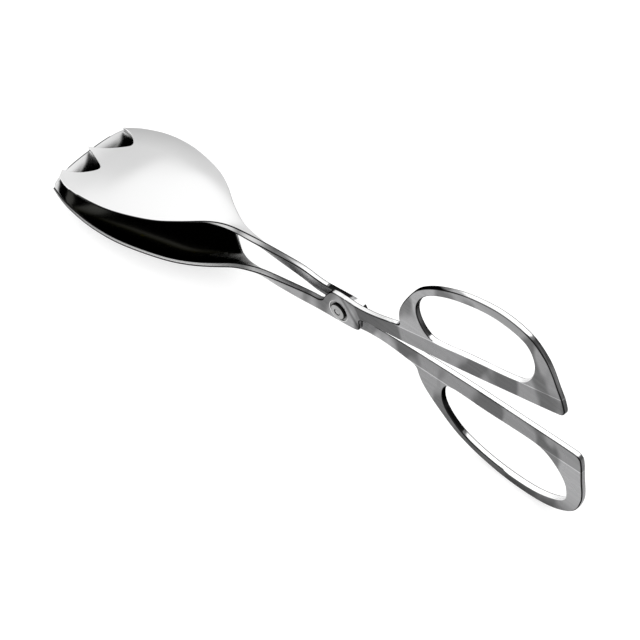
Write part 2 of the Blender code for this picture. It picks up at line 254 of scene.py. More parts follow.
class TongsSizes(bpy.types.PropertyGroup):
    """Sizes of the tongs, measured from the rivet axis."""

    jaw_reach: metres("Jaw reach", "Rivet to the front of the spoon", 126.5 * MM)
    handle_reach: metres("Handle reach", "Rivet to the end of the finger loops", 108 * MM)
    handle_rise: metres("Handle rise", "Height of a finger loop over the rivet", 47 * MM)
    bowl_half_width: metres("Bowl half width", "Half the width of the jaws", 21 * MM)
    bowl_depth: metres("Bowl depth", "Hollow of the spoon under its rim", 10 * MM)
    rim_height: metres("Rim height", "Unit of the rims' distance from the mid-plane", 10 * MM)
    sheet: metres("Sheet", "Thickness of the steel sheet at the handles", 2.2 * MM)
    edge_round: metres("Edge rounding", "Radius of the sheet's rounded edges", 0.5 * MM)
    layer_gap: metres("Layer gap", "Gap between the two plates", 1.1 * MM)
    joggle: metres("Joggle", "Step outwards between the slanted creases", 0.25 * MM)
    loop_lean: degrees("Loop lean", "Outward lean of a finger loop", 3.3)
    hole_radius: metres("Hole radius", "Rivet hole in both plates", 2.3 * MM)
    recess_radius: metres("Recess radius", "Shallow recess round the rivet head", 4.1 * MM)
    recess_depth: metres("Recess depth", "Depth of that recess", 0.4 * MM)
    recess_rim: metres("Recess rim", "Width of the recess's worn rim", 0.25 * MM)


class TongsFinish(bpy.types.PropertyGroup):
    """Colours and polish of the steel, with the colours of its painted shade and highlights."""

    handle_colour: tint("Handle", "Colour of the satin handles", (0.33, 0.33, 0.335))
    bowl_colour: tint("Bowl", "Colour of the mirror-polished bowls", (0.70, 0.70, 0.70))
    # Painted shade deep inside the bowls
    painted_hollow_colour: tint("Bowl inside", "Colour deep inside the bowls", (0.03, 0.03, 0.028))
    # Painted highlight on the upward cut edges
    painted_highlight_colour: tint("Bright edge", "Colour of the rubbed upper edges", (0.90, 0.90, 0.90))
    # Painted shade on the dark cut edges and on the rivet's side
    painted_shade_colour: tint("Dark edge", "Colour of the dark edges and the rivet's side", (0.012, 0.012, 0.012))
    rivet_colour: tint("Rivet", "Colour of the rivet", (0.42, 0.42, 0.42))
    recess_colour: tint("Recess", "Colour of the recess round the rivet", (0.28, 0.28, 0.28))
    # Painted highlight on the recess's rim
    painted_rim_highlight: tint("Recess rim", "Colour of the recess's worn rim", (0.75, 0.75, 0.75))
    washer_colour: tint("Washer", "Colour of the washer", (0.20, 0.20, 0.20))
    handle_roughness: FloatProperty(name="Handle roughness", description="Roughness of the handles",
                                    default=0.24, subtype='FACTOR')
    bowl_roughness: FloatProperty(name="Bowl roughness", description="Roughness of the bowls",
                                  default=0.32, subtype='FACTOR')
    inner_roughness: FloatProperty(name="Inner roughness", description="Roughness inside the bowls",
                                   default=0.15, subtype='FACTOR')


class TongsStudio(bpy.types.PropertyGroup):
    """Camera and light."""

    lens: FloatProperty(name="Lens", description="Focal length of the camera", default=371.46)
    distance: metres("Camera distance", "Camera to the rivet", 2.2616)
    azimuth: degrees("Azimuth", "Side that the camera looks from", -46.394)
    elevation: degrees("Elevation", "Height that the camera looks from", 50.003)
    roll: degrees("Roll", "Turn of the camera about its view", 0.639)
    aside: metres("Aside", "Picture's centre to the rivet, sideways", 8.19 * MM)
    above: metres("Above", "Picture's centre to the rivet, upwards", 4.49 * MM)
    floor_size: metres("Floor size", "Side of the square floor", 3.0)
    sky: FloatProperty(name="Sky", description="Brightness of the soft light overhead", default=1.5)
    near_wall: FloatProperty(name="Near wall", description="Brightness of the room behind the camera",
                             default=1.3)
    far_wall: FloatProperty(name="Far wall", description="Brightness of the room opposite", default=0.88)
    dark_wall: FloatProperty(name="Dark wall", description="Brightness of the dark side of the room",
                             default=0.35)


# Curve and sheet helpers


def smooth(points, steps, closed=False):
    """Points on a smooth curve through the given ones, which doesn't overshoot where they lie close."""
    rows = [np.array(point, float) for point in points]
    if closed:
        rows = [rows[-1]] + rows + rows[:2]
    else:
        rows = [2 * rows[0] - rows[1]] + rows + [2 * rows[-1] - rows[-2]]
    result = []
    for a, b, c, d in zip(rows, rows[1:], rows[2:], rows[3:]):
        before, here, after = (math.sqrt(np.linalg.norm(q - p)) for p, q in ((a, b), (b, c), (c, d)))
        leave = here * ((b - a) / before - (c - a) / (before + here) + (c - b) / here)
        arrive = here * ((c - b) / here - (d - b) / (here + after) + (d - c) / after)
        for step in range(steps):
            t = step / steps
            ease = t * t * (3 - 2 * t)
            result.append((1 - ease) * b + t * (1 - t) ** 2 * leave + ease * c - t * t * (1 - t) * arrive)
    if not closed:
        result.append(rows[-2])
    return result


class Blank:
    """The flat blank of one arm and the folds that shape it."""

    def __init__(self, sizes, painted_tones):
        self.sizes = sizes
        self.painted_tones = painted_tones
        self.layer = (sizes.layer_gap + sizes.sheet) / 2

    def point(self, pair):
        """Point of the flat blank from its two shares."""
        return Vector((pair[0] * self.sizes.handle_reach, 0.0, pair[1] * self.sizes.handle_rise))

    def line_axes(self, line):
        """Start of a line and the direction square to it."""
        start, end = (self.point(pair) for pair in line)
        along = (end - start).normalized()
        return start, Vector((-along.z, 0.0, along.x))

    def beyond(self, point, line):
        """Distance of a point past a line."""
        start, normal = self.line_axes(line)
        return (point - start).dot(normal)

    def folded(self, point):
        """Place of a point of the blank after the joggle and the loop's crease are bent."""
        past_start = self.beyond(point, JOGGLE_START_SHARES)
        past_end = self.beyond(point, JOGGLE_END_SHARES)
        share = 1.0
        if past_end < 0:
            share = max(0.0, past_start) / (max(0.0, past_start) - past_end)
        depth = self.layer + self.sizes.joggle * share
        rise = self.beyond(point, CREASE_SHARES)
        if rise > 0 and share == 1.0:
            normal = self.line_axes(CREASE_SHARES)[1]
            point = point - normal * rise * (1 - math.cos(self.sizes.loop_lean))
            depth += rise * math.sin(self.sizes.loop_lean)
        return Vector((point.x, -depth, point.z))

    def shade(self, point):
        """Painted shade and highlights of the satin sheet: plate, the panel between its slanted creases,
        strip and web.
        """
        past_start = self.beyond(point, JOGGLE_START_SHARES)
        past_end = self.beyond(point, JOGGLE_END_SHARES)
        rise = self.beyond(point, CREASE_SHARES)
        painted_tones = self.painted_tones
        flat = np.interp(past_end, END_BANDS[1:], (painted_tones["neck"], painted_tones["near"], painted_tones["strip"]))
        web = np.interp(point.x / self.sizes.handle_reach, (0.35, 0.90), painted_tones["web"])
        bent = np.interp(rise, CREASE_BANDS, (flat, painted_tones["crease"], web))
        panel = np.interp(past_start, START_BANDS, (1.0, painted_tones["valley"], painted_tones["panel"]))
        return float(np.interp(past_end, END_BANDS[:2], (panel, bent)))

    def edge_bands(self):
        """Distances from the sheet's edge, with the thickness lost there to the rounding."""
        radius = self.sizes.edge_round
        angles = [math.pi / 2 * step / EDGE_STEPS for step in range(EDGE_STEPS + 1)]
        return [(radius * (1 - math.cos(angle)), 2 * radius * (1 - math.sin(angle))) for angle in angles]


def inset(ring, distance, closed):
    """Ring moved into the sheet, which lies on its left."""
    before = [ring[-1] if closed else ring[0]] + ring[:-1]
    after = ring[1:] + [ring[0] if closed else ring[-1]]
    moved = []
    for point, a, b in zip(ring, before, after):
        along = (b - a).normalized()
        moved.append(point + Vector((-along.z, 0.0, along.x)) * distance)
    if not closed:
        across = Vector((0.0, 0.0, distance))
        moved[0], moved[-1] = ring[0] + across, ring[-1] - across
    return moved


def line_of_verts(mesh, points, closed):
    """New corners joined by edges."""
    verts = [bmesh.ops.create_vert(mesh, co=point)["vert"][0] for point in points]
    ends = verts[1:] + verts[:1] * closed
    return verts, [mesh.edges.new(pair) for pair in zip(verts, ends)]


def add_handle(mesh, marks, blank):
    """Plate, strip and loop with its finger hole, as one folded sheet."""
    thickness, edge_share, _, tone, hole_share = marks
    outline = [blank.point(pair) for pair in smooth(OUTLINE_SHARES, OUTLINE_STEPS)]
    hole = [blank.point(pair) for pair in smooth(FINGER_HOLE_SHARES, OUTLINE_STEPS, closed=True)]
    boundary = []
    for ring, closed in ((outline, False), (hole, True)):
        last_edges = None
        for distance, lost in blank.edge_bands():
            verts, edges = line_of_verts(mesh, inset(ring, distance, closed), closed)
            for vert in verts:
                vert[thickness] = 1 - lost / blank.sizes.sheet
                vert[edge_share] = lost / (2 * blank.sizes.edge_round)
                vert[hole_share] = 1.0 if closed else 0.0
            if last_edges:
                bmesh.ops.bridge_loops(mesh, edges=last_edges + edges)
            last_edges = edges
        boundary += edges
        if not closed:
            head, foot = verts[-1], verts[0]
            places = [head.co.lerp(foot.co, step / ACROSS) for step in range(1, ACROSS)]
            across, edges = line_of_verts(mesh, places, False)
            for vert in across:
                vert[thickness] = 1.0
            boundary += edges + [mesh.edges.new((head, across[0])), mesh.edges.new((across[-1], foot))]
    bmesh.ops.triangle_fill(mesh, edges=boundary, use_beauty=True)
    for line, bands in ((CREASE_SHARES, CREASE_BANDS), (JOGGLE_START_SHARES, START_BANDS),
                        (JOGGLE_END_SHARES, END_BANDS)):
        start, normal = blank.line_axes(line)
        for band in bands:
            everything = mesh.verts[:] + mesh.edges[:] + mesh.faces[:]
            bmesh.ops.bisect_plane(mesh, geom=everything, plane_co=start + normal * band, plane_no=normal)
    for vert in mesh.verts:
        # Painted shade in the crease valleys and painted highlights on the creases and panels
        vert[tone] = blank.shade(vert.co)
        vert.co = blank.folded(vert.co.copy())
        if vert[thickness] == 0:
            vert[thickness] = 1.0


def spoon_front(place):
    """Front edge of the spoon: nearly straight, with rounded corners."""
    corner = math.sqrt(1 - abs(place) ** SPOON_CORNER)
    return SPOON_SIDE_SHARE + (SPOON_FRONT_SHARE - SPOON_SIDE_SHARE) * corner


def fork_front(place):
    """Front edge of the fork: a middle point and two side points, with a notch between them."""
    point_place, point_share = FORK_SIDE_POINTS[place > 0]
    place = abs(place)
    if place > point_place:
        past_point = (place - point_place) / (1 - point_place)
        return point_share + (FORK_CORNER_SHARE - point_share) * past_point
    width = FORK_NOTCH_PLACE if place < FORK_NOTCH_PLACE else point_place - FORK_NOTCH_PLACE
    from_bottom = math.hypot((place - FORK_NOTCH_PLACE) / width, NOTCH_ROUND_SHARE)
    from_point = math.hypot(1, NOTCH_ROUND_SHARE) - from_bottom
    deepest = math.hypot(1, NOTCH_ROUND_SHARE) - NOTCH_ROUND_SHARE
    points_line = FORK_TIP_SHARE + (point_share - FORK_TIP_SHARE) * place / point_place
    return points_line - FORK_NOTCH_SHARE * from_point / deepest


def station_table(blank):
    """Stations of the jaws, sampled finely, from the edge that they share with the handle."""
    sizes = blank.sizes
    foot, head = blank.point(OUTLINE_SHARES[0]), blank.point(OUTLINE_SHARES[-1])
    joint_half = (head.z - foot.z) / 2 / sizes.bowl_half_width
    joint_height = -(head.z + foot.z) / 2 / sizes.rim_height
    joint = [-foot.x / sizes.jaw_reach, 1.0, 1.0, 1.0] + [joint_half, joint_height, 0.0] * 2
    return np.array(smooth([joint, *JAW_STATION_SHARES], STATION_STEPS))


def eased(table, reach):
    """Row of the table at a reach, averaged with its neighbours so that reflections have no kinks."""
    steps = np.linspace(-EASE_SPAN, EASE_SPAN, EASE_SAMPLES)
    places = reach + EASE_SHARE * steps
    weights = np.exp(-0.5 * steps ** 2)
    low, high = table[0, 0], table[-1, 0]
    rows = np.array([np.interp(places, table[:, 0], values) for values in table.T]).T
    for index, place in enumerate(places):
        if place < low or place > high:
            end = low if place < low else high
            mirror = [np.interp(2 * end - place, table[:, 0], values) for values in table.T]
            here = [np.interp(end, table[:, 0], values) for values in table.T]
            rows[index] = 2 * np.array(here) - np.array(mirror)
    return (rows * weights[:, None]).sum(0) / weights.sum()


def jaw_columns(blank, half):
    """Places across a jaw from edge to edge as offset, lost thickness and share between the bands."""
    radius = blank.sizes.edge_round
    side = [(half - distance, lost, 1.0) for distance, lost in blank.edge_bands()[:-1]]
    inner = [((half - radius) * (2 * step / ACROSS - 1), 0.0, 2 * step / ACROSS - 1)
             for step in range(ACROSS + 1)]
    return [(-offset, lost, -share) for offset, lost, share in side] + inner + side[::-1]


def jaw_rows(blank):
    """Places along a jaw's front part from its start to the front edge, with the thickness lost."""
    length = (SPOON_FRONT_SHARE - FRONT_START_SHARE) * blank.sizes.jaw_reach
    bands = [(1 - distance / length, lost) for distance, lost in blank.edge_bands()[:-1]]
    last = 1 - blank.sizes.edge_round / length
    return [(last * step / FRONT_STEPS, 0.0) for step in range(FRONT_STEPS + 1)] + bands[::-1]


def add_jaw(mesh, marks, blank, first_column, front):
    """Twisted strip and bowl: a grid whose cross lines run from the plate to the front edge."""
    thickness, edge_share, bowl_share, tone, _ = marks
    sizes = blank.sizes
    table = station_table(blank)
    rows = [(reach, None, 0.0) for reach in table[table[:, 0] < FRONT_START_SHARE, 0]]
    rows += [(FRONT_START_SHARE, place, lost) for place, lost in jaw_rows(blank)]
    columns = len(jaw_columns(blank, sizes.bowl_half_width))
    grid = bmesh.ops.create_grid(mesh, x_segments=columns - 1, y_segments=len(rows) - 1, size=1)["verts"]
    for index, vert in enumerate(grid):
        start, place, row_lost = rows[index // columns]
        share = jaw_columns(blank, sizes.bowl_half_width)[index % columns][2]
        reach = start if place is None else start + (front(share) - start) * place
        values = eased(table, reach)
        aside, sheet, turn = values[1:4]
        half, rim, depth = values[first_column:first_column + 3]
        offset, column_lost, share = jaw_columns(blank, half * sizes.bowl_half_width)[index % columns]
        across = abs(offset / half / sizes.bowl_half_width)
        hollow = depth * sizes.bowl_depth * (1 - across ** BOWL_ROUNDNESS)
        angle = turn * math.pi / 2
        vert.co = (
            -reach * sizes.jaw_reach,
            offset * math.cos(angle) - aside * blank.layer,
            -rim * sizes.rim_height - offset * math.sin(angle) - hollow)
        lost = max(row_lost, column_lost)
        vert[thickness] = sheet - lost / sizes.sheet
        vert[edge_share] = lost / (2 * sizes.edge_round)
        vert[bowl_share] = min(1.0, max(0.0, (reach - BOWL_START_SHARE) / BOWL_BLEND_SHARE))
        # Painted shading of the jaw's strip and bowl
        vert[tone] = jaw_shade(blank, reach, share)


def jaw_shade(blank, reach, side):
    """Painted shading of a jaw: its strip, and its bowl, with painted shade towards the tip and on its far
    side.
    """
    away = max(0.0, -side * blank.painted_tones["far_side"] - FAR_SIDE_START)
    far = away * float(np.interp(reach, FAR_SIDE_SHARES, (0, FAR_SIDE_LOSS)))
    bowl = float(np.interp(reach, BOWL_TONE_SHARES, BOWL_PAINTED_TONES)) - far
    near, strip = blank.painted_tones["jaw"]
    return float(np.interp(reach, JAW_TONE_SHARES, (1.0, near, strip, strip, bowl)))


def finished(name, mesh, materials):
    """Object of a finished mesh."""
    data = bpy.data.meshes.new(name)
    mesh.to_mesh(data)
    mesh.free()
    item = bpy.data.objects.new(name, data)
    bpy.context.scene.collection.objects.link(item)
    for material in materials:
        data.materials.append(material)
    return item


def in_place():
    """Turn and place of the rivet axis in the frame, from the rivet's box and the resting tilt."""
    centre = (rivet_low + rivet_high) / 2
    return Matrix.Translation(centre) @ Matrix.Rotation(-REST_TILT, 4, 'Y')


def applied(item):
    """Takes an item's modifiers into its mesh."""
    graph = bpy.context.evaluated_depsgraph_get()
    graph.update()
    data = bpy.data.meshes.new_from_object(item.evaluated_get(graph))
    item.modifiers.clear()
    old = item.data
    item.data = data
    bpy.data.meshes.remove(old)


def painted_edge_look(blank, normal, along, share, in_hole, turned_over):
    """Painted highlight or shade of a cut edge, where a share under the wall's is on its rounding."""
    rounding = share < WALL_SHARE
    if along < JAW_END:
        rim = BRIGHT if normal.x < FRONT_FACING else blank.painted_tones["rim"]
        look = float(np.interp(along, JAW_EDGE_BLEND, (rim, *blank.painted_tones["jaw_edge"])))
        return DARK if rounding and look < NEARLY_BRIGHT else look
    # Painted shade where the back plate lies in the gap behind the front plate, with a painted highlight on
    # part of its top edge
    on_back_plate = turned_over and along < PLATE_END
    if on_back_plate and normal.z > FACING:
        return float(np.interp(along, BACK_EDGE_BLEND, (DARK, BRIGHT, BRIGHT, DARK)))
    if on_back_plate or normal.y > FACING:
        return DARK
    if normal.x > FACING and normal.z < NEARLY_UP:
        return ROUNDING_LOOK if rounding else HOLE_LOOK if in_hole else END_LOOK
    if in_hole and normal.x < 0 and normal.z > 0:
        return BRIGHT
    brightest = float(np.interp(along, STRIP_EDGE_BLEND, (PLATE_LOOK, PLATE_LOOK, BRIGHT)))
    return min(brightest, max(UNDER_LOOK, (normal.z - NEARLY_UP) * UP_CONTRAST))


def mark_faces(data, blank, turned_over):
    """Marks the hollow side of the bowl for its painted shade and the painted light of the cut edges, and
    leaves the recess plain.
    """
    for name in ("inner_share", "painted_edge_tone"):
        data.attributes.new(name, 'FLOAT', 'POINT')
    edge_share, hole_share, painted_sheet_tone, inner_share, painted_edge_tone = (
        data.attributes[name].data for name in
        ("edge_share", "hole_share", "painted_sheet_tone", "inner_share", "painted_edge_tone"))
    up = -1 if turned_over else 1
    centre = (rivet_low + rivet_high) / 2
    front = cad_bounds[0][0]
    recess = blank.sizes.recess_radius + blank.sizes.recess_rim + RECESS_MARGIN
    for index, vertex in enumerate(data.vertices):
        along = vertex.co.x - centre.x
        if math.hypot(along, vertex.co.z - centre.z) < recess:
            painted_sheet_tone[index].value = 1.0
            edge_share[index].value = 0.0
        # Where the painted shade inside the bowl may fall
        hollow = min(1.0, max(0.0, vertex.normal.z * up * HOLLOW_CONTRAST))
        from_front = float(np.interp(vertex.co.x - front, FRONT_FADE, (0.0, 1.0)))
        deep = float(np.interp(along, HOLLOW_START, (1.0, 0.0)))
        inner_share[index].value = hollow * from_front * deep
        share = edge_share[index].value
        look = painted_edge_look(blank, vertex.normal, along, share, hole_share[index].value > 0.5, turned_over)
        painted_edge_tone[index].value = look * min(1.0, share * EDGE_REACH)


def cut_rest(data):
    """Cuts the rest flats under the spoon and the lower loop in the table plane."""
    mesh = bmesh.new()
    mesh.from_mesh(data)
    everything = mesh.verts[:] + mesh.edges[:] + mesh.faces[:]
    bmesh.ops.bisect_plane(mesh, geom=everything, plane_co=(0, 0, 0), plane_no=(0, 0, 1), clear_inner=True)
    bmesh.ops.holes_fill(mesh, edges=[edge for edge in mesh.edges if edge.is_boundary])
    mesh.to_mesh(data)
    mesh.free()


def build_arm(name, node, body, first_column, front, turned_over):
    """One arm of folded sheet with rounded edges, its bowl and its rivet hole."""
    sizes = bpy.context.scene.tongs_sizes
    blank = Blank(sizes, PAINTED_TONES[node])
    mesh = bmesh.new()
    marks = [mesh.verts.layers.float.new(name) for name in
             ("sheet_share", "edge_share", "bowl_share", "painted_sheet_tone", "hole_share")]
    thickness = marks[0]
    add_handle(mesh, marks, blank)
    add_jaw(mesh, marks, blank, first_column, front)
    bmesh.ops.remove_doubles(mesh, verts=mesh.verts, dist=WELD)
    bmesh.ops.recalc_face_normals(mesh, faces=mesh.faces)
    if turned_over:
        bmesh.ops.rotate(mesh, verts=mesh.verts, matrix=Matrix.Rotation(math.pi, 3, 'X'))
    shares = [vert[thickness] for vert in mesh.verts]
    item = finished(name, mesh, [sheet_steel(node)])
    group = item.vertex_groups.new(name="sheet_share")
    for index, share in enumerate(shares):
        group.add([index], share, 'REPLACE')
    thick = item.modifiers.new("sheet", 'SOLIDIFY')
    thick.thickness = sizes.sheet
    thick.offset = 0.0
    thick.vertex_group = group.name
    cutter = rivet_cutter(sizes)
    knife = item.modifiers.new("rivet_hole", 'BOOLEAN')
    knife.operation = 'DIFFERENCE'
    knife.solver = 'EXACT'
    knife.material_mode = 'TRANSFER'
    knife.object = cutter
    applied(item)
    bpy.data.objects.remove(cutter)
    item.data.transform(in_place())
    cut_rest(item.data)
    mark_faces(item.data, blank, turned_over)
    item.data.shade_smooth()
    item.data.set_sharp_from_angle(angle=SHEET_SHARP)
    weighted = item.modifiers.new("even_faces", 'WEIGHTED_NORMAL')
    weighted.keep_sharp = True
    weighted.weight = 70
    applied(item)
    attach(item, body)
    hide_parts(node)
    return item


# Turned pieces


def turned(name, profile, materials):
    """Solid turned round the rivet axis from a closed profile of radius and place along the axis."""
    mesh = bmesh.new()
    closed = profile[0][0] > 0
    verts, edges = line_of_verts(mesh, [Vector((radius, along, 0.0)) for radius, along in profile], closed)
    bmesh.ops.spin(mesh, geom=verts + edges, cent=(0, 0, 0), axis=(0, 1, 0), angle=2 * math.pi,
                   steps=ROUND_STEPS, use_merge=True)
    bmesh.ops.remove_doubles(mesh, verts=mesh.verts, dist=TURNED_WELD)
    bmesh.ops.recalc_face_normals(mesh, faces=mesh.faces)
    return finished(name, mesh, materials)


def rivet_cutter(sizes):
    """Rivet hole through both plates with the shallow chamfered recess round it in their outer faces."""
    face = sizes.layer_gap / 2 + sizes.sheet
    floor = face - sizes.recess_depth
    rim = sizes.recess_rim
    outside = sizes.recess_radius + rim
    half = [(sizes.hole_radius, floor), (sizes.recess_radius, floor), (sizes.recess_radius, face - rim / 2),
            (outside, face), (outside, face + sizes.sheet), (0.0, face + sizes.sheet)]
    finish = bpy.context.scene.tongs_finish
    # The recess's rim gets a painted highlight; its floor is plain steel
    steels = [plain_steel("recess_shade", finish.recess_colour, 0.3),
              plain_steel("recess_rim", finish.painted_rim_highlight, 0.15)]
    cutter = turned("rivet_cutter", [(radius, -along) for radius, along in reversed(half)] + half, steels)
    tone = cutter.data.attributes.new("painted_sheet_tone", 'FLOAT', 'POINT').data
    for index in range(len(cutter.data.vertices)):
        tone[index].value = 1.0
    for part in cutter.data.polygons:
        part.material_index = math.hypot(part.center.x, part.center.z) > sizes.recess_radius
    return cutter


# Materials


def node(tree, kind, place, **values):
    """New node with its sockets' values."""
    made = tree.nodes.new(kind)
    made.location = place
    for name, value in values.items():
        socket = made.inputs.get(name.replace("_", " "))
        if socket is not None:
            socket.default_value = value
        else:
            setattr(made, name, value)
    return made


def spread(tree, place, value, low, high, to_low=0.0, to_high=1.0):
    """Value brought from one range to another, eased at both ends."""
    made = node(tree, "ShaderNodeMapRange", place, interpolation_type='SMOOTHSTEP')
    for name, number in (("From Min", low), ("From Max", high), ("To Min", to_low), ("To Max", to_high)):
        made.inputs[name].default_value = number
    tree.links.new(value, made.inputs["Value"])
    return made.outputs["Result"]


def product(tree, place, first, second):
    """Two numbers multiplied."""
    made = node(tree, "ShaderNodeMath", place, operation='MULTIPLY')
    tree.links.new(first, made.inputs[0])
    tree.links.new(second, made.inputs[1])
    return made.outputs[0]


def blended(tree, place, share, first, second):
    """Two colours mixed by a share; each is a colour or a socket."""
    made = node(tree, "ShaderNodeMix", place, data_type='RGBA')
    tree.links.new(share, made.inputs[0])
    for socket, value in ((made.inputs[6], first), (made.inputs[7], second)):
        if isinstance(value, bpy.types.NodeSocket):
            tree.links.new(value, socket)
        else:
            socket.default_value = (*value, 1)
    return made.outputs[2]


def mixed(tree, place, share, first, second):
    """Number mixed with a fixed one by a share."""
    made = node(tree, "ShaderNodeMix", place, data_type='FLOAT')
    tree.links.new(share, made.inputs[0])
    tree.links.new(first, made.inputs[2])
    made.inputs[3].default_value = second
    return made.outputs[0]


def scaled(tree, place, shade, factor):
    """Colour made lighter or darker by a number."""
    made = node(tree, "ShaderNodeVectorMath", place, operation='SCALE')
    tree.links.new(shade, made.inputs[0])
    tree.links.new(factor, made.inputs["Scale"])
    return made.outputs[0]


def marked(tree, place, name):
    """Number kept on the corners of a piece."""
    made = node(tree, "ShaderNodeAttribute", place)
    made.attribute_name = name
    return made.outputs["Fac"]


def patches(tree, place, scale, detail, stretch=(1, 1, 1)):
    """Noise on object coordinates, with its pattern stretched."""
    where = node(tree, "ShaderNodeTexCoord", (place[0] - 400, place[1]))
    mapped = node(tree, "ShaderNodeMapping", (place[0] - 200, place[1]), Scale=stretch)
    noise = node(tree, "ShaderNodeTexNoise", place, Scale=scale, Detail=detail)
    tree.links.new(where.outputs["Object"], mapped.inputs["Vector"])
    tree.links.new(mapped.outputs[0], noise.inputs["Vector"])
    return noise.outputs["Fac"]


def toned(shade, factor):
    """Fixed colour made lighter or darker."""
    return tuple(min(1.0, part * factor) for part in shade)


def new_steel(name):
    """Empty metal material, its tree and its shader."""
    material = bpy.data.materials.new(name)
    material.use_nodes = True
    shader = material.node_tree.nodes["Principled BSDF"]
    shader.inputs["Metallic"].default_value = 1.0
    return material, material.node_tree, shader


def add_bumps(tree, shader, grain, swell, waviness):
    """Fine drawn grain over a slow unevenness of the sheet."""
    fine = node(tree, "ShaderNodeBump", (-500, -300), Strength=0.05, Distance=0.0002)
    tree.links.new(grain, fine.inputs["Height"])
    slow = node(tree, "ShaderNodeBump", (-300, -300), Strength=waviness, Distance=0.001)
    tree.links.new(swell, slow.inputs["Height"])
    tree.links.new(fine.outputs["Normal"], slow.inputs["Normal"])
    tree.links.new(slow.outputs["Normal"], shader.inputs["Normal"])


def plain_steel(name, shade, roughness):
    """Steel of the small turned pieces, with fine grain and uneven polish."""
    material, tree, shader = new_steel(name)
    grain = patches(tree, (-900, 0), 1400.0, 3.0)
    cloud = patches(tree, (-900, -400), 300.0, 2.0)
    tree.links.new(blended(tree, (-600, 100), cloud, toned(shade, 0.85), toned(shade, 1.15)),
                   shader.inputs["Base Color"])
    tree.links.new(spread(tree, (-600, -100), cloud, 0.3, 0.7, roughness * 0.8, roughness * 1.3),
                   shader.inputs["Roughness"])
    add_bumps(tree, shader, grain, cloud, 0.03)
    return material


def streaked(tree, bowl):
    """Painted highlight and shade of the cut edges, with fine streaks along them that fade out towards the
    bowls.
    """
    streaks = node(tree, "ShaderNodeMath", (-1200, -600), operation='MULTIPLY_ADD')
    lines = patches(tree, (-1500, -700), 1.0, 2.0, stretch=STREAK_STRETCH)
    tree.links.new(spread(tree, (-1350, -700), lines, 0.35, 0.65, -1.0, 1.0), streaks.inputs[0])
    tree.links.new(spread(tree, (-1350, -800), bowl, 0.0, 1.0, STREAK_STRENGTH, 0.0), streaks.inputs[1])
    tree.links.new(marked(tree, (-1350, -600), "painted_edge_tone"), streaks.inputs[2])
    return streaks.outputs[0]


def satin_sheet(tree, shade, grain, cloud):
    """Satin of the handles: clouded, finely drawn, and with a painted shadow close to the table."""
    satin = blended(tree, (-1000, 500), spread(tree, (-1200, 400), cloud, 0.42, 0.53),
                    *(toned(shade, tone) for tone in CLOUD_TONES))
    drawn = spread(tree, (-1200, 650), grain, 0.3, 0.7, 0.70, 1.0)
    satin = blended(tree, (-850, 500), drawn, toned(shade, DRAWN_TONE), satin)
    height = node(tree, "ShaderNodeSeparateXYZ", (-1100, 900))
    tree.links.new(node(tree, "ShaderNodeTexCoord", (-1300, 900)).outputs["Object"], height.inputs[0])
    # Painted shadow close to the table
    low = spread(tree, (-950, 900), height.outputs["Z"], 0.0, LOW_HEIGHT, TABLE_SHADE_TONE, 1.0)
    return scaled(tree, (-720, 650), satin, low)


def sheet_steel(arm):
    """Sheet with satin handles, mirror-polished bowls, painted shade inside the bowls, painted shading
    along the creases, and cut edges with painted highlights and shade.
    """
    finish = bpy.context.scene.tongs_finish
    material, tree, shader = new_steel(arm + "_polish")
    grain = patches(tree, (-1500, 600), 1.0, 4.0, stretch=GRAIN_STRETCH)
    cloud = patches(tree, (-1500, 200), 75.0, 1.5, stretch=CLOUD_STRETCH)
    bowl = marked(tree, (-1300, -200), "bowl_share")
    inside = marked(tree, (-1300, -400), "inner_share")
    look = streaked(tree, bowl)
    satin = satin_sheet(tree, finish.handle_colour, grain, cloud)
    # The painted shade and highlights of creases, jaws and bowls scale the steel's colour
    steel = scaled(tree, (-520, 600), blended(tree, (-620, 500), bowl, satin, finish.bowl_colour),
                   marked(tree, (-1000, 700), "painted_sheet_tone"))
    # Painted shade inside the bowls, where ambient occlusion finds them covered
    hollow = node(tree, "ShaderNodeAmbientOcclusion", (-1100, -100), samples=16, Distance=COVER_REACH)
    covered = spread(tree, (-900, -100), hollow.outputs["AO"], *COVER_LIMITS, 1.0, 0.0)
    deep = product(tree, (-700, -100), covered, inside)
    steel = blended(tree, (-400, 500), deep, steel, finish.painted_hollow_colour)
    # Painted highlight on the upward cut edges and painted shade on the others
    rubbed = spread(tree, (-900, -500), look, 0.25, 0.75)
    steel = blended(tree, (-250, 500), rubbed, steel, finish.painted_highlight_colour)
    dark = spread(tree, (-900, -700), look, -0.75, -0.25, 1.0, 0.0)
    steel = blended(tree, (-100, 500), dark, steel, finish.painted_shade_colour)
    tree.links.new(steel, shader.inputs["Base Color"])
    # Reflections are darkened where the shade is painted
    glancing = blended(tree, (-250, 250), deep, (1, 1, 1), finish.painted_hollow_colour)
    glancing = blended(tree, (-100, 250), dark, glancing, finish.painted_shade_colour)
    tree.links.new(glancing, shader.inputs["Specular Tint"])
    satin_polish = spread(tree, (-900, 0), cloud, 0.3, 0.7, finish.handle_roughness * 0.85,
                          finish.handle_roughness * 1.2)
    polish = mixed(tree, (-600, 0), bowl, satin_polish, finish.bowl_roughness)
    polish = mixed(tree, (-400, 0), inside, polish, finish.inner_roughness)
    tree.links.new(polish, shader.inputs["Roughness"])
    plain = spread(tree, (-900, -900), bowl, 0.0, 1.0, 1.0, 0.12)
    add_bumps(tree, shader, product(tree, (-700, -900), grain, plain),
              product(tree, (-700, -1050), cloud, plain), 0.15)
    return material


# Operators


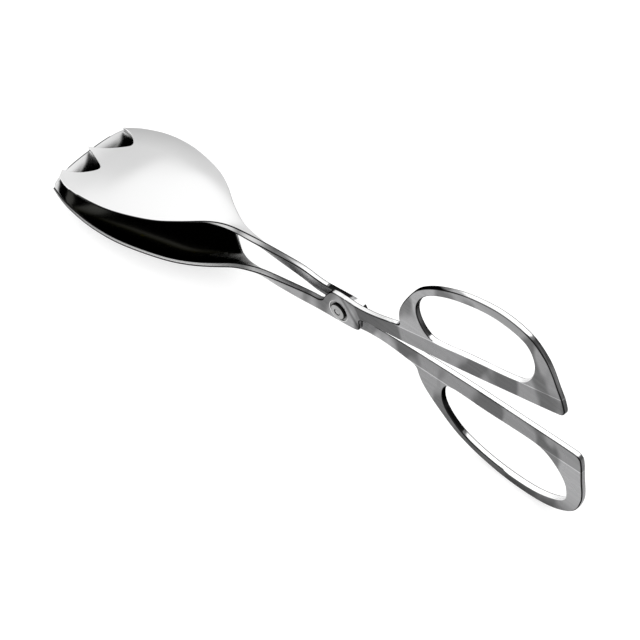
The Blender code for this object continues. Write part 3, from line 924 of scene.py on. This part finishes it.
class TONGS_OT_spoon_arm(bpy.types.Operator):
    """Front arm with the lower jaw, a spoon, and the upper finger loop"""

    bl_idname = "tongs.spoon_arm"
    bl_label = "Spoon Arm"

    def execute(self, context):
        build_arm("spoon_arm_sheet", "spoon_arm", "spoon_body", SPOON_COLUMN, spoon_front, False)
        return {'FINISHED'}


class TONGS_OT_fork_arm(bpy.types.Operator):
    """Back arm with the upper jaw, a three-pointed fork, and the lower finger loop"""

    bl_idname = "tongs.fork_arm"
    bl_label = "Fork Arm"

    def execute(self, context):
        build_arm("fork_arm_sheet", "fork_arm", "fork_body", FORK_COLUMN, fork_front, True)
        return {'FINISHED'}


class TONGS_OT_rivet(bpy.types.Operator):
    """Rivet with a low dimpled dome in the recess of each plate"""

    bl_idname = "tongs.rivet"
    bl_label = "Rivet"

    shank_radius: metres("Shank radius", "Radius between the heads", 2.0 * MM)
    head_radius: metres("Head radius", "Radius of the heads", 3.3 * MM)
    head_edge: metres("Head edge", "Height of a head's side wall", 0.45 * MM)
    head_crown: metres("Head crown", "Height of a head's dome", 0.4 * MM)
    head_clearance: metres("Head clearance", "Gap under a head", 0.3 * MM)
    crown_steps: IntProperty(name="Crown steps", description="Rings of the dome", default=16)
    dimple_radius: metres("Dimple radius", "Radius of the pressed middle of a head", 1.35 * MM)
    dimple_depth: metres("Dimple depth", "Depth of the pressed middle", 0.4 * MM)

    def execute(self, context):
        sizes = context.scene.tongs_sizes
        under = sizes.layer_gap / 2 + sizes.sheet - sizes.recess_depth + self.head_clearance
        edge = under + self.head_edge
        dome = [(self.head_radius * math.cos(t), edge + self.head_crown * math.sin(t))
                for t in (math.pi / 2 * step / self.crown_steps for step in range(self.crown_steps))
                if self.head_radius * math.cos(t) > self.dimple_radius]
        dimple_edge = dome[-1][1]
        dome += [(self.dimple_radius * share, dimple_edge - self.dimple_depth * (1 - share ** 4))
                 for share in DIMPLE_SHARES]
        half = [(self.shank_radius, under), (self.head_radius, under)] + dome
        finish = context.scene.tongs_finish
        steel = plain_steel("rivet_polish", finish.rivet_colour, 0.16)
        # Painted shade on the rivet's side and on its rings
        shade = plain_steel("rivet_painted_shade", finish.painted_shade_colour, 0.3)
        item = turned("rivet_solid", [(radius, -along) for radius, along in reversed(half)] + half,
                      [steel, shade])
        for part in item.data.polygons:
            outward = part.normal.x * part.center.x + part.normal.z * part.center.z
            radius = math.hypot(part.center.x, part.center.z)
            in_ring = DIMPLE_RING_SHARE * self.dimple_radius < radius < self.dimple_radius
            on_side = outward > RIVET_SIDE_SHARE * radius or radius > HEAD_RING_SHARE * self.head_radius
            part.material_index = on_side or in_ring
        item.data.transform(in_place())
        item.data.shade_smooth()
        item.data.set_sharp_from_angle(angle=RIVET_SHARP)
        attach(item, "spoon_body")
        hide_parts("rivet")
        return {'FINISHED'}


class TONGS_OT_washer(bpy.types.Operator):
    """Thin washer between the two plates"""

    bl_idname = "tongs.washer"
    bl_label = "Washer"

    radius: metres("Radius", "Outer radius", 4.6 * MM)
    thickness: metres("Thickness", "Thickness", 0.5 * MM)
    edge: metres("Edge", "Width of the worn edge", 0.08 * MM)

    def execute(self, context):
        hole = context.scene.tongs_sizes.hole_radius
        half = self.thickness / 2
        ring = [(hole, -half), (self.radius - self.edge, -half), (self.radius, self.edge - half),
                (self.radius, half - self.edge), (self.radius - self.edge, half), (hole, half)]
        finish = context.scene.tongs_finish
        item = turned("washer_ring", ring, [plain_steel("washer_polish", finish.washer_colour, 0.35)])
        item.data.transform(in_place())
        item.data.shade_smooth()
        item.data.set_sharp_from_angle(angle=WASHER_SHARP)
        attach(item, "spoon_body")
        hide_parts("washer")
        return {'FINISHED'}


class TONGS_OT_studio(bpy.types.Operator):
    """White floor, soft light from above, and the camera"""

    bl_idname = "tongs.studio"
    bl_label = "Studio"

    def execute(self, context):
        self.place_camera(context)
        self.lay_floor(context)
        self.hang_light(context)
        return {'FINISHED'}

    def place_camera(self, context):
        """Camera with a long lens, above the handles and aimed beside the rivet."""
        studio = context.scene.tongs_studio
        turn = (Matrix.Rotation(studio.azimuth + math.pi / 2, 3, 'Z')
                @ Matrix.Rotation(math.pi / 2 - studio.elevation, 3, 'X')
                @ Matrix.Rotation(studio.roll, 3, 'Z'))
        shift = turn @ Vector((-studio.aside, -studio.above, studio.distance))
        place = (rivet_low + rivet_high) / 2 + shift
        data = bpy.data.cameras.new("camera")
        data.lens = studio.lens
        data.sensor_width = 36.0
        data.dof.use_dof = False
        data.clip_start = 0.05
        camera = bpy.data.objects.new("camera", data)
        camera.matrix_world = Matrix.Translation(place) @ turn.to_4x4()
        context.scene.collection.objects.link(camera)
        context.scene.camera = camera

    def lay_floor(self, context):
        """White floor that keeps the shadow of the tongs and is weaker in what they mirror."""
        mesh = bmesh.new()
        half = context.scene.tongs_studio.floor_size / 2
        bmesh.ops.create_grid(mesh, x_segments=1, y_segments=1, size=half)
        material = bpy.data.materials.new("floor_white")
        material.use_nodes = True
        tree = material.node_tree
        shader = tree.nodes["Principled BSDF"]
        shader.inputs["Base Color"].default_value = (FLOOR_GREY, FLOOR_GREY, FLOOR_GREY, 1)
        shader.inputs["Roughness"].default_value = 1.0
        shader.inputs["Emission Color"].default_value = (1, 1, 1, 1)
        path = node(tree, "ShaderNodeLightPath", (-800, -200))
        mirrored = node(tree, "ShaderNodeMath", (-600, -300), operation='MAXIMUM')
        tree.links.new(path.outputs["Is Glossy Ray"], mirrored.inputs[0])
        tree.links.new(path.outputs["Is Transmission Ray"], mirrored.inputs[1])
        weak = node(tree, "ShaderNodeMath", (-400, -300), operation='MULTIPLY')
        weak.inputs[1].default_value = FLOOR_MIRRORED
        tree.links.new(mirrored.outputs[0], weak.inputs[0])
        seen = node(tree, "ShaderNodeMath", (-200, -200), operation='MULTIPLY_ADD')
        seen.inputs[1].default_value = FLOOR_GLOW
        tree.links.new(path.outputs["Is Camera Ray"], seen.inputs[0])
        tree.links.new(weak.outputs[0], seen.inputs[2])
        tree.links.new(seen.outputs[0], shader.inputs["Emission Strength"])
        floor = finished("floor", mesh, [material])

    def hang_light(self, context):
        """Room whose brightness changes with the direction: near, far and dark walls, and a soft sky."""
        studio = context.scene.tongs_studio
        world = bpy.data.worlds.new("room")
        context.scene.world = world
        world.use_nodes = True
        tree = world.node_tree
        background = tree.nodes["Background"]
        where = node(tree, "ShaderNodeTexCoord", (-1300, 0)).outputs["Generated"]
        near = spread(tree, (-900, 200), self.along(tree, (-1100, 200), where, (0, -1, 0)), -0.6, 0.6,
                      studio.far_wall, studio.near_wall)
        height = spread(tree, (-900, 0), self.along(tree, (-1100, 0), where, (0, 0, 1)), -0.1, 0.55)
        dark = self.along(tree, (-1100, -200), where, DARK_WALL_SIDE)
        dark = spread(tree, (-900, -200), dark, 0.70, 0.85)
        light = mixed(tree, (-600, 100), height, near, studio.sky)
        tree.links.new(mixed(tree, (-400, 0), dark, light, studio.dark_wall),
                       background.inputs["Strength"])
        background.inputs["Color"].default_value = (1, 1, 1, 1)

    def along(self, tree, place, where, direction):
        """How far a direction points along a fixed one."""
        made = node(tree, "ShaderNodeVectorMath", place, operation='DOT_PRODUCT')
        tree.links.new(where, made.inputs[0])
        made.inputs[1].default_value = Vector(direction).normalized()
        return made.outputs["Value"]


class TONGS_PT_panel(bpy.types.Panel):
    """Serving tongs"""

    bl_idname = "TONGS_PT_panel"
    bl_label = "Serving Tongs"
    bl_space_type = 'VIEW_3D'
    bl_region_type = 'UI'
    bl_category = "Tongs"

    def draw(self, context):
        for made in OPERATORS:
            self.layout.operator(made.bl_idname)


OPERATORS = (TONGS_OT_studio, TONGS_OT_spoon_arm, TONGS_OT_fork_arm, TONGS_OT_rivet, TONGS_OT_washer)
CLASSES = (TongsSizes, TongsFinish, TongsStudio, *OPERATORS, TONGS_PT_panel)


def register():
    for made in CLASSES:
        bpy.utils.register_class(made)
    bpy.types.Scene.tongs_sizes = PointerProperty(type=TongsSizes)
    bpy.types.Scene.tongs_finish = PointerProperty(type=TongsFinish)
    bpy.types.Scene.tongs_studio = PointerProperty(type=TongsStudio)


def unregister():
    del bpy.types.Scene.tongs_studio
    del bpy.types.Scene.tongs_finish
    del bpy.types.Scene.tongs_sizes
    for made in reversed(CLASSES):
        bpy.utils.unregister_class(made)


def main():
    register()
    bpy.context.scene.view_settings.view_transform = 'Standard'
    bpy.ops.tongs.studio()
    bpy.ops.tongs.spoon_arm()
    bpy.ops.tongs.fork_arm()
    bpy.ops.tongs.rivet()
    bpy.ops.tongs.washer()


if __name__ == "__main__":
    main()
